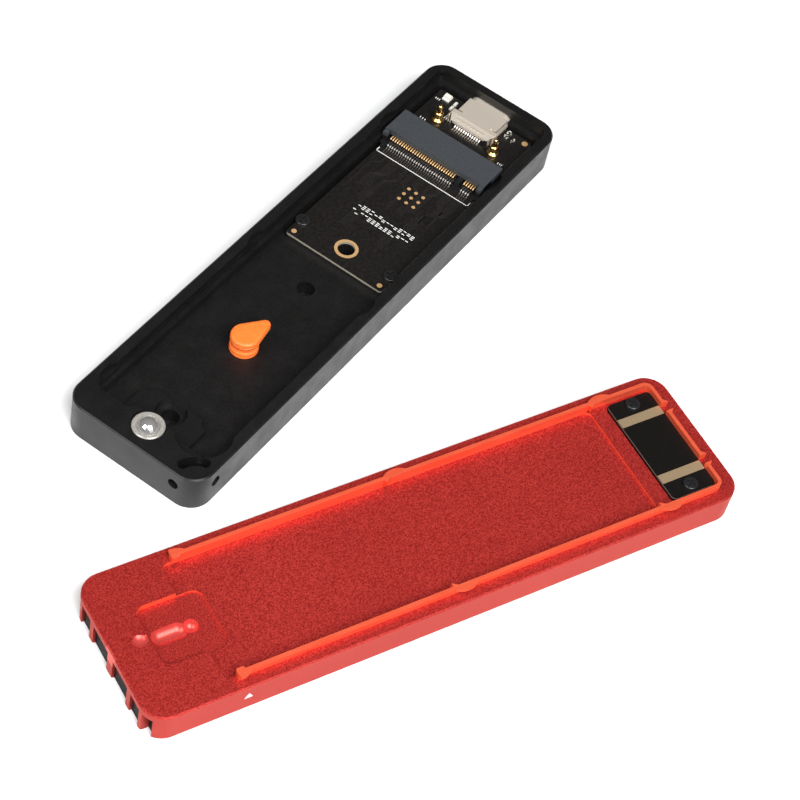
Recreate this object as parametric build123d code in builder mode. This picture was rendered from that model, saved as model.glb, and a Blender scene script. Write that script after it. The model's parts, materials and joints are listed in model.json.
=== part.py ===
from build123d import *
from math import cos, hypot, radians, sin, sqrt
import os

# Enclosure for a plug-in solid state drive, opened flat: a machined base that carries the
# circuit board, and a slide-on cover that lies beside it on its back.
# Origin: middle of the base's underside. +X runs towards the USB end, +Z up. Millimetres.

os.makedirs("parts", exist_ok=True)

# ---------------------------------------------------------------- driving dimensions, both halves
length = 110.0
width = 28.0
corner_radius = 4.0
edge_bevel = 0.25
base_height = 7.73
cover_height = 6.12
lock_travel = 6.5            # how far the cover slides to lock or free its hooks

# where the opened cover lies: its middle and its turn, seen from above
cover_middle = (-37.10, -46.09)
cover_turn = -25.645

# drive card standard: 22 mm card, fixed card stop, hole places measured from the card stop
card_stop_to_end = 19.0      # from the card stop to the base's USB end
card_lengths = (80.0, 60.0, 42.0, 30.0)
card_underside = 5.0
card_thickness = 0.8
card_hole_r = 1.6
card_hole_floor = 0.8
plug_room_r = 2.8             # room for the plug's lower bead round the longest card's hole
plug_card_length = 60.0      # the card length at which the plug is parked

# rim, groove and bay of the base
bay_near_wall = 6.5
bay_far_wall = 2.0
rim_half_width = 12.0
rim_lip = 0.7
groove_half_width = 12.95
groove_depth = 0.95
ledge_level = 5.4
bay_half_width = 11.15
bay_corner = 1.2
bay_floor = 3.67
bay_end_wall = 3.0
board_well_near = 54.3
board_seat = 3.1
board_seat_ledge = 2.15
well_floor = 1.2
well_floor_near = 64.3       # keeps clear of the hole for the shortest card
notch_reach = 12.75
notch_chord = 5.2
notch_near = 9.4
notch_far = 20.0
rest_pad_end = 13.4
rest_pad_half_width = 6.6
rest_pad_scoop = 1.6

# cover's hooks, lip and inner face
lip_half_width = 11.95
lip_wall = 0.65
lip_height = 1.3
hook_chord = 4.4
hook_height = 0.5
lip_near = 15.6
lip_far = 3.0
lip_corner = 1.6
lip_break = 1.6
lip_break_at = 6.0
lip_head = (1.5, 0.45)       # blunt heads where the lip ends: length, and step past its faces
lip_barb = 0.7                # small pointed barbs beside each break of the lip
floor_near = 13.7
floor_step_to_end = 15.5
floor_depth = 0.8
shelf_depth = 0.3
plug_recess_size = 11.4
plug_recess_near = 6.3
plug_recess_depth = 1.15
plug_recess_corner = 1.8
ball_slot_r = 1.6
ball_slot_near = 6.8
ball_slot_far = 13.0
ball_slot_sink = 0.5
ball_dimple_r = 1.2
ball_free_from_end = 13.6     # second dimple, where the ball rests with the cover unlocked
ball_free_r = 1.3
ball_link_half_width = 0.75
ball_link_overrun = 0.4

# ball detent
detent_from_end = 4.85
ball_r = 1.9
ball_stand = 0.95
ball_running_gap = 0.05
detent_body_r = 2.5
detent_ring_r = 2.8
detent_ring_thickness = 0.42
detent_bottom = 2.6
detent_floor = 0.6
detent_seat_r = 3.1

# lanyard corner
lanyard_hole_r = 1.0
lanyard_level = 4.75
lanyard_end_y = 4.8 - width / 2
lanyard_side_x = 5.1
lanyard_slot_r = 0.9
lanyard_slot_floor = 3.5
lanyard_hole_depth = 3.0
lanyard_post_inset = 1.0      # the slot curves round a point this far in from both faces
lanyard_slot_from_end = 1.9   # the slot passes this far from the end, level with
lanyard_slot_y = 5.0 - width / 2
lanyard_slot_arc = (18, 54)   # where the slot's middle line starts, and how far it turns

# main board
board_thickness = 1.2
board_half_width = 10.5
board_near_gap = 2.6
board_far_gap = 3.4
board_corner = 0.6
short_ring_r = 2.2
board_screw_from_edge = 0.8
board_screw_r = 0.8
board_screw_depth = 1.6
board_screw_head_r = 1.4
board_screw_head = 0.55
copper = 0.035
via_middle = (-30.8, -1.5)
via_pitch = 1.6
via_r = 0.35
fiducial_r = 0.5
fiducial_inset = 1.1
test_pad_r = 0.6
test_pad_from_edge = 1.0
chip_size = 9.0
chip_height = 0.9
status_light_from_end = 4.8
status_light_y = 8.1
status_light_base = (1.6, 1.5, 0.35)
status_light_lens = (1.0, 1.3, 0.45)

# drive socket, measured from the card stop
socket_half_width = 11.0
socket_back = 3.6
socket_plate_front = 2.6
socket_jaw_front = 4.4
socket_height = 2.9
socket_slot_half_width = 10.0
contact_pitch = 0.5
contact_width = 0.25
contact_sheet = 0.15
contact_rows = (9.25, 9.0)
key_middle = -6.125
key_width = 1.0
tail_reach = 1.4
plate_over_cheek = 0.35       # the cheeks stop this far under the plate's top
cheek_front = 0.8            # and this far behind the jaw's front
key_front = 0.4
upper_contact_front = 0.4
lower_contact_short = 0.6    # the lower contacts stop this far before the card stop

# USB receptacle, measured from the base's USB end
usb_width = 8.94
usb_thickness = 3.16
usb_wall = 0.3
usb_middle_level = 4.28
usb_mouth_inset = 0.6
usb_back = 9.5
usb_opening_gap = 0.25
tongue_width = 6.7
tongue_thickness = 0.7
tongue_inset = 1.9
tongue_base_end = 7.5
usb_pins = 12
bracket_back = 10.1
bracket_front = 3.1
bracket_half_width = usb_width / 2 - 0.37
bracket_wing = 0.7
bracket_wing_length = 2.6

# spring pins that power the cover's lights
pin_from_end = 10.8
pin_r = 0.5
pin_gap = 0.05
pin_barrel_r = 0.78
pin_collar_r = 1.2
pin_tip_level = 8.2
pin_barrel_top = 6.5
pin_barrel_bottom = 2.4
pin_floor = 2.8
pin_collar = 0.7
pin_spread = bracket_half_width + bracket_wing + contact_sheet + pin_collar_r + 0.15
pin_spring_top = 5.0
pin_spring_wire = 0.12

# cover's contact board, lights and light bars
contact_board_near_gap = 12.4
contact_board_far_gap = lip_far + lip_wall + 0.05
contact_board_half_width = 10.6
contact_board_thickness = 1.0
contact_board_stand = 0.3
contact_board_corner = 1.0
contact_board_gap = 0.15
strip_width = 1.8
cover_screw_from_end = 8.0
cover_screw_clear = 0.6      # between a screw's head and the contact strip
cover_screw_head_r = 1.3
cover_screw_depth = 1.4
cover_screw_spread = pin_spread + strip_width / 2 + cover_screw_clear + cover_screw_head_r
bar_slot_depth = 3.3
window_depth = 4.75          # the slots are deeper for a short way behind the end face
window_length = 4.8
bar_slots = ((0.9, 5.95), (7.15, 10.1), (10.9, 12.7))
bar_far_gap = 8.0
bar_gap = 0.1
bar_set_back = 0.4
bar_outer_inset = 0.15
light_from_end = 10.6
light_size = (1.6, 1.6, 0.8)
light_room = (-1.2, 1.0, 0.2)  # room round the lights: near side, far side and past the bars
arrow_from_end = 16.7
arrow_level = 3.6

# ---------------------------------------------------------------- places worked out from them
near = -length / 2
far = length / 2
card_stop = far - card_stop_to_end
plug_x = card_stop - plug_card_length
short_hole_x = card_stop - card_lengths[-1]
board_near = near + board_well_near + board_near_gap
board_far = far - board_far_gap
board_top = board_seat + board_thickness
notch_places = [near + notch_near, (near + notch_near + far - notch_far) / 2, far - notch_far]
usb_front = far - usb_mouth_inset
pin_x = far - pin_from_end
detent_x = near + detent_from_end
ball_middle = base_height + ball_stand - ball_r
cover_plane = Plane(
    origin=(cover_middle[0], cover_middle[1], 0),
    x_dir=(cos(radians(cover_turn)), sin(radians(cover_turn)), 0),
    z_dir=(0, 0, 1),
)


def save(piece, label):
    piece.part.label = label
    export_step(piece.part, f"parts/{label}.step")


def span(x_low, x_high, half_width, plane, radius=0.0):
    """Sketch a rectangle from x_low to x_high, as wide either side of the middle line."""
    with BuildSketch(plane) as sketch:
        with Locations(((x_low + x_high) / 2, 0)):
            if radius > 0:
                RectangleRounded(x_high - x_low, 2 * half_width, radius)
            else:
                Rectangle(x_high - x_low, 2 * half_width)
    return sketch.sketch


def bump_circle(reach, inner, chord):
    """Radius and centre offset of a circle that reaches out past a straight edge."""
    rise = reach - inner
    radius = chord * chord / (8 * rise) + rise / 2
    return radius, reach - radius


# ---------------------------------------------------------------- base shell
with BuildPart() as base_shell:
    with BuildSketch():
        RectangleRounded(length, width, corner_radius)
    extrude(amount=base_height)
    chamfer(base_shell.edges().group_by(Axis.Z)[-1], edge_bevel)
    chamfer(base_shell.edges().group_by(Axis.Z)[0], edge_bevel)
    # opening in the rim, with the notches that let the cover's hooks in
    extrude(
        span(near + bay_near_wall, far - bay_far_wall, rim_half_width,
             Plane.XY.offset(base_height), bay_corner),
        amount=ledge_level - base_height, mode=Mode.SUBTRACT,
    )
    notch_r, notch_y = bump_circle(notch_reach, rim_half_width, notch_chord)
    with BuildSketch(Plane.XY.offset(base_height)):
        with Locations([(x, side * notch_y) for x in notch_places for side in (-1, 1)]):
            Circle(notch_r)
    extrude(amount=-rim_lip - groove_depth, mode=Mode.SUBTRACT)
    # groove under the rim that the hooks slide along
    extrude(
        span(near + bay_near_wall, far - bay_far_wall, groove_half_width,
             Plane.XY.offset(base_height - rim_lip), bay_corner),
        amount=-groove_depth, mode=Mode.SUBTRACT,
    )
    # bay for the card, and the deeper well for the circuit board
    extrude(
        span(near + rest_pad_end, far - bay_end_wall, bay_half_width,
             Plane.XY.offset(ledge_level), bay_corner),
        amount=bay_floor - ledge_level, mode=Mode.SUBTRACT,
    )
    with BuildSketch(Plane.XY.offset(ledge_level)):
        with Locations((near + (bay_near_wall + rest_pad_end + bay_corner) / 2, 0)):
            Rectangle(rest_pad_end + bay_corner - bay_near_wall, 2 * bay_half_width)
            Rectangle(
                rest_pad_end + bay_corner - bay_near_wall, 2 * rest_pad_half_width, mode=Mode.SUBTRACT
            )
        with Locations([(near + rest_pad_end, side * rest_pad_half_width) for side in (-1, 1)]):
            Circle(rest_pad_scoop)
    extrude(amount=bay_floor - ledge_level, mode=Mode.SUBTRACT)
    with BuildSketch(Plane.XY.offset(ledge_level)):
        with Locations((near + (bay_near_wall + rest_pad_end) / 2, 0)):
            Rectangle(rest_pad_end - bay_near_wall, 2 * rest_pad_half_width)
    extrude(amount=card_underside - ledge_level, mode=Mode.SUBTRACT)
    extrude(
        span(near + board_well_near, far - bay_end_wall, bay_half_width,
             Plane.XY.offset(bay_floor), bay_corner),
        amount=board_seat - bay_floor, mode=Mode.SUBTRACT,
    )
    extrude(
        span(near + well_floor_near, far - bay_end_wall,
             bay_half_width - board_seat_ledge, Plane.XY.offset(board_seat), bay_corner),
        amount=well_floor - board_seat, mode=Mode.SUBTRACT,
    )
    # holes on the middle line, one for each card length
    with BuildSketch(Plane.XY.offset(card_underside)):
        with Locations([(card_stop - size, 0) for size in card_lengths]):
            Circle(card_hole_r)
    extrude(amount=card_hole_floor - card_underside, mode=Mode.SUBTRACT)
    with BuildSketch(Plane.XY.offset(card_underside)):
        with Locations((card_stop - card_lengths[0], 0)):
            Circle(plug_room_r)
    extrude(amount=bay_floor - card_underside, mode=Mode.SUBTRACT)
    # threaded holes for the board's two screws
    with BuildSketch(Plane.XY.offset(board_seat)):
        with Locations([
            (short_hole_x, side * (board_half_width - board_screw_from_edge)) for side in (-1, 1)
        ]):
            Circle(board_screw_r)
    extrude(amount=-board_screw_depth, mode=Mode.SUBTRACT)
    # seat of the ball detent
    with Locations((detent_x, 0, base_height)):
        CounterBoreHole(detent_body_r, detent_seat_r, detent_ring_thickness + 0.1,
                        base_height - detent_bottom)
    # lanyard slot round the corner post, with its two holes
    post = (near + lanyard_post_inset, -width / 2 + lanyard_post_inset)
    slot_path_r = hypot(near + lanyard_slot_from_end - post[0], lanyard_slot_y - post[1])
    slot_path = CenterArc(post, slot_path_r, *lanyard_slot_arc, mode=Mode.PRIVATE)
    with BuildSketch(Plane.XY.offset(base_height)):
        SlotArc(slot_path, 2 * lanyard_slot_r)
    extrude(amount=lanyard_slot_floor - base_height, mode=Mode.SUBTRACT)
    with BuildSketch(Plane.YZ.offset(near)):
        with Locations((lanyard_end_y, lanyard_level)):
            Circle(lanyard_hole_r)
    extrude(amount=lanyard_hole_depth, mode=Mode.SUBTRACT)
    with BuildSketch(Plane.XZ.offset(width / 2)):
        with Locations((near + lanyard_side_x, lanyard_level)):
            Circle(lanyard_hole_r)
    extrude(amount=-lanyard_hole_depth, mode=Mode.SUBTRACT)
    # opening in the end wall for the USB receptacle
    with BuildSketch(Plane.YZ.offset(far)):
        with Locations((0, usb_middle_level)):
            SlotOverall(usb_width + 2 * usb_opening_gap, usb_thickness + 2 * usb_opening_gap)
    extrude(amount=-bay_end_wall - 0.5, mode=Mode.SUBTRACT)
save(base_shell, "base_shell")


# ---------------------------------------------------------------- main circuit board
with BuildPart() as main_board:
    with BuildSketch(Plane.XY.offset(board_seat)):
        with Locations(((board_near + board_far) / 2, 0)):
            RectangleRounded(board_far - board_near, 2 * board_half_width, board_corner)
        with Locations((short_hole_x, 0)):
            Circle(card_hole_r, mode=Mode.SUBTRACT)
        with Locations([
            (short_hole_x, side * (board_half_width - board_screw_from_edge)) for side in (-1, 1)
        ]):
            Circle(board_screw_r + 0.1, mode=Mode.SUBTRACT)
        with Locations([(pin_x, side * pin_spread) for side in (-1, 1)]):
            Circle(pin_barrel_r + 0.02, mode=Mode.SUBTRACT)
        with Locations((far - (usb_back + board_far_gap) / 2, 0)):
            Rectangle(usb_back - board_far_gap + 0.4, usb_width + 0.3, mode=Mode.SUBTRACT)
    extrude(amount=board_thickness)
save(main_board, "main_board")


def pan_screw(head_r, head_height, shank_r, shank_length):
    """Cross-head screw whose head sits on z = 0."""
    with BuildPart() as screw:
        Cylinder(head_r, head_height, align=(Align.CENTER, Align.CENTER, Align.MIN))
        fillet(screw.edges().group_by(Axis.Z)[-1], head_height * 0.45)
        with Locations((0, 0, head_height)):
            Box(head_r * 1.25, 0.4, 0.7, mode=Mode.SUBTRACT)
            Box(0.4, head_r * 1.25, 0.7, mode=Mode.SUBTRACT)
        Cylinder(shank_r, shank_length, align=(Align.CENTER, Align.CENTER, Align.MAX))
    return screw.part


board_screw = pan_screw(board_screw_head_r, board_screw_head, board_screw_r - 0.05,
                        board_thickness + board_screw_depth - 0.3)
with BuildPart() as board_screws:
    with Locations([
        (short_hole_x, side * (board_half_width - board_screw_from_edge), board_top)
        for side in (-1, 1)
    ]):
        add(board_screw)
save(board_screws, "board_screws")

# gilt copper left bare on the board: ring, aiming dots, heat holes and a test pad
with BuildPart() as board_gilding:
    with BuildSketch(Plane.XY.offset(board_top)):
        with Locations((short_hole_x, 0)):
            Circle(short_ring_r)
            Circle(card_hole_r, mode=Mode.SUBTRACT)
        with Locations([
            (board_near + fiducial_inset, side * (board_half_width - fiducial_inset)) for side in (-1, 1)
        ]):
            Circle(fiducial_r)
        with Locations((far + via_middle[0], via_middle[1])):
            with GridLocations(via_pitch, via_pitch, 3, 3):
                Circle(via_r)
        with Locations((board_far - test_pad_from_edge, fiducial_inset - board_half_width)):
            Circle(test_pad_r)
    extrude(amount=copper)
save(board_gilding, "board_gilding")

# bridge chip under the board, and the pad that leads its heat into the base
with BuildPart() as bridge_chip:
    with BuildSketch(Plane.XY.offset(board_seat)):
        with Locations((far + via_middle[0], via_middle[1])):
            Rectangle(chip_size, chip_size)
    extrude(amount=-chip_height)
    chamfer(bridge_chip.edges().group_by(Axis.Z)[0], 0.1)
save(bridge_chip, "bridge_chip")

with BuildPart() as heat_pad:
    with BuildSketch(Plane.XY.offset(well_floor)):
        with Locations((far + via_middle[0], via_middle[1])):
            RectangleRounded(chip_size + 1, chip_size + 1, 0.4)
    extrude(amount=board_seat - chip_height - well_floor)
save(heat_pad, "heat_pad")

# small parts soldered beside the USB receptacle: (distance from end, y, long, wide, high)
small_parts = ((5.2, 6.0, 1.0, 0.5, 0.45), (6.6, 6.0, 1.0, 0.5, 0.45), (5.0, -5.9, 1.6, 0.8, 0.8),
               (5.6, -7.4, 1.0, 0.5, 0.45))
with BuildPart() as board_chips:
    for gap, y, long, wide, high in small_parts:
        with Locations((far - gap, y, board_top)):
            Box(long, wide, high, align=(Align.CENTER, Align.CENTER, Align.MIN))
save(board_chips, "board_chips")

with BuildPart() as status_light:
    with Locations((far - status_light_from_end, status_light_y, board_top)):
        Box(*status_light_base, align=(Align.CENTER, Align.CENTER, Align.MIN))
    with Locations((far - status_light_from_end, status_light_y, board_top + status_light_base[2])):
        Box(*status_light_lens, align=(Align.CENTER, Align.CENTER, Align.MIN))
save(status_light, "status_light")

# ---------------------------------------------------------------- drive socket
jaw_top = card_underside - 0.05
slot_top = card_underside + card_thickness + 0.1
socket_top = board_top + socket_height
jaw_x = card_stop - socket_jaw_front
plate_x = card_stop - socket_plate_front
with BuildPart() as socket_body:
    with BuildSketch(Plane.XZ.offset(-socket_half_width)):
        with BuildLine():
            Polyline(
                (jaw_x, board_top), (card_stop + socket_back, board_top),
                (card_stop + socket_back, socket_top), (plate_x, socket_top),
                (plate_x, slot_top), (card_stop, slot_top), (card_stop, jaw_top),
                (jaw_x, jaw_top), close=True,
            )
        make_face()
    extrude(amount=2 * socket_half_width)
    # cheeks that close the slot's ends and reach past the card's edge
    for side in (-1, 1):
        middle = side * (socket_half_width + socket_slot_half_width) / 2
        with Locations(((jaw_x + cheek_front + card_stop) / 2, middle, board_top)):
            Box(card_stop - jaw_x - cheek_front, socket_half_width - socket_slot_half_width,
                socket_height - plate_over_cheek, align=(Align.CENTER, Align.CENTER, Align.MIN))
    # key that only lets the right card in
    with Locations(((jaw_x + key_front + card_stop) / 2, key_middle, board_top)):
        Box(card_stop - jaw_x - key_front, key_width, slot_top - board_top,
            align=(Align.CENTER, Align.CENTER, Align.MIN))
    chamfer(socket_body.faces().sort_by(Axis.Z)[-1].edges(), 0.15)
save(socket_body, "socket_body")


def contact_places(first):
    """Places across the socket, half a millimetre apart, leaving out those at the key."""
    count = round(2 * first / contact_pitch) + 1
    places = [first - contact_pitch * n for n in range(count)]
    return [y for y in places if abs(y - key_middle) > 0.9]


with BuildPart() as socket_upper_contacts:
    for y in contact_places(contact_rows[0]):
        with Locations(((jaw_x + upper_contact_front + card_stop) / 2, y, slot_top)):
            Box(card_stop - jaw_x - upper_contact_front, contact_width, contact_sheet,
                align=(Align.CENTER, Align.CENTER, Align.MAX))
save(socket_upper_contacts, "socket_upper_contacts")

contact_end = card_stop - lower_contact_short
with BuildPart() as socket_lower_contacts:
    for y in contact_places(contact_rows[1]):
        with BuildSketch(Plane.XZ.offset(-y - contact_width / 2)):
            with BuildLine():
                Polyline(
                    (jaw_x - tail_reach, board_top), (jaw_x, board_top), (jaw_x, jaw_top),
                    (contact_end, jaw_top), (contact_end, jaw_top + contact_sheet),
                    (jaw_x - contact_sheet, jaw_top + contact_sheet),
                    (jaw_x - contact_sheet, board_top + contact_sheet),
                    (jaw_x - tail_reach, board_top + contact_sheet), close=True,
                )
            make_face()
        extrude(amount=contact_width)
save(socket_lower_contacts, "socket_lower_contacts")

# ---------------------------------------------------------------- USB receptacle
with BuildPart() as usb_shell:
    with BuildSketch(Plane.YZ.offset(usb_front)):
        with Locations((0, usb_middle_level)):
            SlotOverall(usb_width, usb_thickness)
            SlotOverall(usb_width - 2 * usb_wall, usb_thickness - 2 * usb_wall, mode=Mode.SUBTRACT)
    extrude(amount=usb_mouth_inset - usb_back)
save(usb_shell, "usb_shell")

with BuildPart() as usb_tongue:
    with BuildSketch(Plane.YZ.offset(usb_front - tongue_inset)):
        with Locations((0, usb_middle_level)):
            RectangleRounded(tongue_width, tongue_thickness, 0.2)
    extrude(amount=tongue_inset + usb_mouth_inset - tongue_base_end)
    with BuildSketch(Plane.YZ.offset(far - tongue_base_end)):
        with Locations((0, usb_middle_level)):
            SlotOverall(usb_width - 2 * usb_wall, usb_thickness - 2 * usb_wall)
    extrude(amount=tongue_base_end - usb_back)
save(usb_tongue, "usb_tongue")

with BuildPart() as usb_contacts:
    for n in range(usb_pins):
        y = (n - (usb_pins - 1) / 2) * contact_pitch
        for side in (-1, 1):
            with Locations((
                usb_front - tongue_inset - 1.9, y,
                usb_middle_level + side * (tongue_thickness / 2 + copper / 2),
            )):
                Box(3.2, contact_width, copper)
        with BuildSketch(Plane.XZ.offset(-y - contact_width / 2)):
            with BuildLine():
                Polyline(
                    (far - usb_back, board_top + 0.55), (far - usb_back - 0.55, board_top + 0.55),
                    (far - usb_back - 0.9, board_top + 0.15), (far - usb_back - 1.8, board_top + 0.15),
                    (far - usb_back - 1.8, board_top), (far - usb_back - 0.8, board_top),
                    (far - usb_back - 0.45, board_top + 0.4), (far - usb_back, board_top + 0.4),
                    close=True,
                )
            make_face()
        extrude(amount=contact_width)
save(usb_contacts, "usb_contacts")

# folded steel plate that clamps the receptacle to the board
bracket_level = usb_middle_level + usb_thickness / 2
with BuildPart() as usb_bracket:
    extrude(
        span(far - bracket_back, far - bracket_front, bracket_half_width,
             Plane.XY.offset(bracket_level)),
        amount=contact_sheet,
    )
    with BuildSketch(Plane.XY.offset(bracket_level)):
        for side in (-1, 1):
            with Locations((
                far - bracket_back + bracket_wing_length / 2,
                side * (bracket_half_width + bracket_wing / 2),
            )):
                Rectangle(bracket_wing_length, bracket_wing)
    extrude(amount=contact_sheet)
    with BuildSketch(Plane.XY.offset(bracket_level + contact_sheet)):
        for side in (-1, 1):
            with Locations((
                far - bracket_back + bracket_wing_length / 2,
                side * (bracket_half_width + bracket_wing + contact_sheet / 2),
            )):
                Rectangle(bracket_wing_length, contact_sheet)
    extrude(amount=board_top - bracket_level - contact_sheet)
save(usb_bracket, "usb_bracket")

# ---------------------------------------------------------------- spring pins

def spring(middle, radius, low, high, turns, wire):
    """A coil of round wire standing on low and ending at high."""
    with BuildPart() as coil:
        rise = (high - low - 2 * wire) / turns
        with BuildLine() as path:
            Helix(rise, rise * turns, radius, center=(middle[0], middle[1], low + wire))
        with BuildSketch(Plane(path.line @ 0, z_dir=path.line % 0)):
            Circle(wire / 2)
        sweep(is_frenet=True)
    return coil


with BuildPart() as pin_barrels:
    for side in (-1, 1):
        base = Plane((pin_x, side * pin_spread, pin_barrel_bottom))
        with BuildSketch(base):
            Circle(pin_barrel_r)
        extrude(amount=pin_barrel_top - pin_barrel_bottom)
        with BuildSketch(base.offset(board_top - pin_barrel_bottom)):
            Circle(pin_collar_r)
        extrude(amount=pin_collar)
        with BuildSketch(base.offset(pin_floor - pin_barrel_bottom)):
            Circle(pin_r + pin_gap)
        extrude(amount=pin_barrel_top - pin_floor, mode=Mode.SUBTRACT)
save(pin_barrels, "pin_barrels")

for side, name in ((1, "left"), (-1, "right")):
    with BuildPart() as pin_plunger:
        with BuildSketch(Plane((pin_x, side * pin_spread, pin_spring_top))):
            Circle(pin_r)
        extrude(amount=pin_tip_level - pin_spring_top)
        fillet(pin_plunger.faces().sort_by(Axis.Z)[-1].edges(), pin_r - 0.02)
    save(pin_plunger, f"pin_plunger_{name}")
    pin_spring = spring(
        (pin_x, side * pin_spread), pin_r - 0.16, pin_floor, pin_spring_top, 7, pin_spring_wire
    )
    save(pin_spring, f"pin_spring_{name}")

# ---------------------------------------------------------------- ball detent
ring_top = base_height - 0.1
ball_throat_r = ball_r - 0.03
ball_bore_top = ball_middle + 0.15
throat_level = ball_middle + 0.42
with BuildPart() as detent_body:
    with BuildSketch(Plane.XZ):
        with BuildLine():
            Polyline(
                (0, detent_bottom), (detent_body_r, detent_bottom),
                (detent_body_r, ring_top - detent_ring_thickness),
                (detent_ring_r, ring_top - detent_ring_thickness), (detent_ring_r, ring_top - 0.15),
                (detent_ring_r - 0.15, ring_top), (ball_throat_r + 0.25, ring_top),
                (ball_throat_r, throat_level), (ball_r + ball_running_gap, ball_bore_top),
                (ball_r + ball_running_gap, detent_bottom + detent_floor),
                (0, detent_bottom + detent_floor), close=True,
            )
        make_face()
    revolve(axis=Axis.Z)
detent_body.part = detent_body.part.moved(Location((detent_x, 0, 0)))
save(detent_body, "detent_body")

with BuildPart() as detent_ball:
    with Locations((detent_x, 0, ball_middle)):
        Sphere(ball_r)
save(detent_ball, "detent_ball")

detent_spring = spring(
    (detent_x, 0), ball_r - 0.35, detent_bottom + detent_floor, ball_middle - ball_r, 4, 0.3
)
save(detent_spring, "detent_spring")

# ---------------------------------------------------------------- soft plug that holds the card's end
plug_stem_r = card_hole_r - 0.02
plug_body_r = 2.6
plug_waist_r = 1.7
plug_ring_top = card_underside - 0.02
plug_head_low = card_underside + card_thickness + 0.05
plug_head_high = 7.4
plug_point = 5.3
plug_point_r = 0.9
plug_turn = -13.5
with BuildPart() as retaining_plug:
    with BuildSketch(Plane((plug_x, 0, bay_floor - 2.6))):
        Circle(plug_stem_r)
    extrude(amount=2.6)
    with BuildSketch(Plane((plug_x, 0, bay_floor))):
        Circle(plug_body_r)
    extrude(amount=plug_ring_top - bay_floor)
    with BuildSketch(Plane((plug_x, 0, bay_floor + 0.5))):
        Circle(plug_body_r + 0.5)
        Circle(plug_body_r - 0.25, mode=Mode.SUBTRACT)
    extrude(amount=0.3, mode=Mode.SUBTRACT)
    with BuildSketch(Plane((plug_x, 0, plug_ring_top))):
        Circle(plug_waist_r)
    extrude(amount=plug_head_low - plug_ring_top)
    head = Plane((plug_x, 0, plug_head_low),
                 x_dir=(cos(radians(plug_turn)), sin(radians(plug_turn)), 0), z_dir=(0, 0, 1))
    with BuildSketch(head):
        Circle(plug_body_r)
        with Locations((plug_point - plug_point_r, 0)):
            Circle(plug_point_r)
        make_hull()
    extrude(amount=plug_head_high - plug_head_low)
    fillet(retaining_plug.faces().sort_by(Axis.Z)[-1].edges(), 0.35)
save(retaining_plug, "retaining_plug")

def on_cover(x, y, z):
    """A point given along, across and above the cover, in the base's frame."""
    return cover_plane.from_local_coords(Vector(x, y, z))


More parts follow.
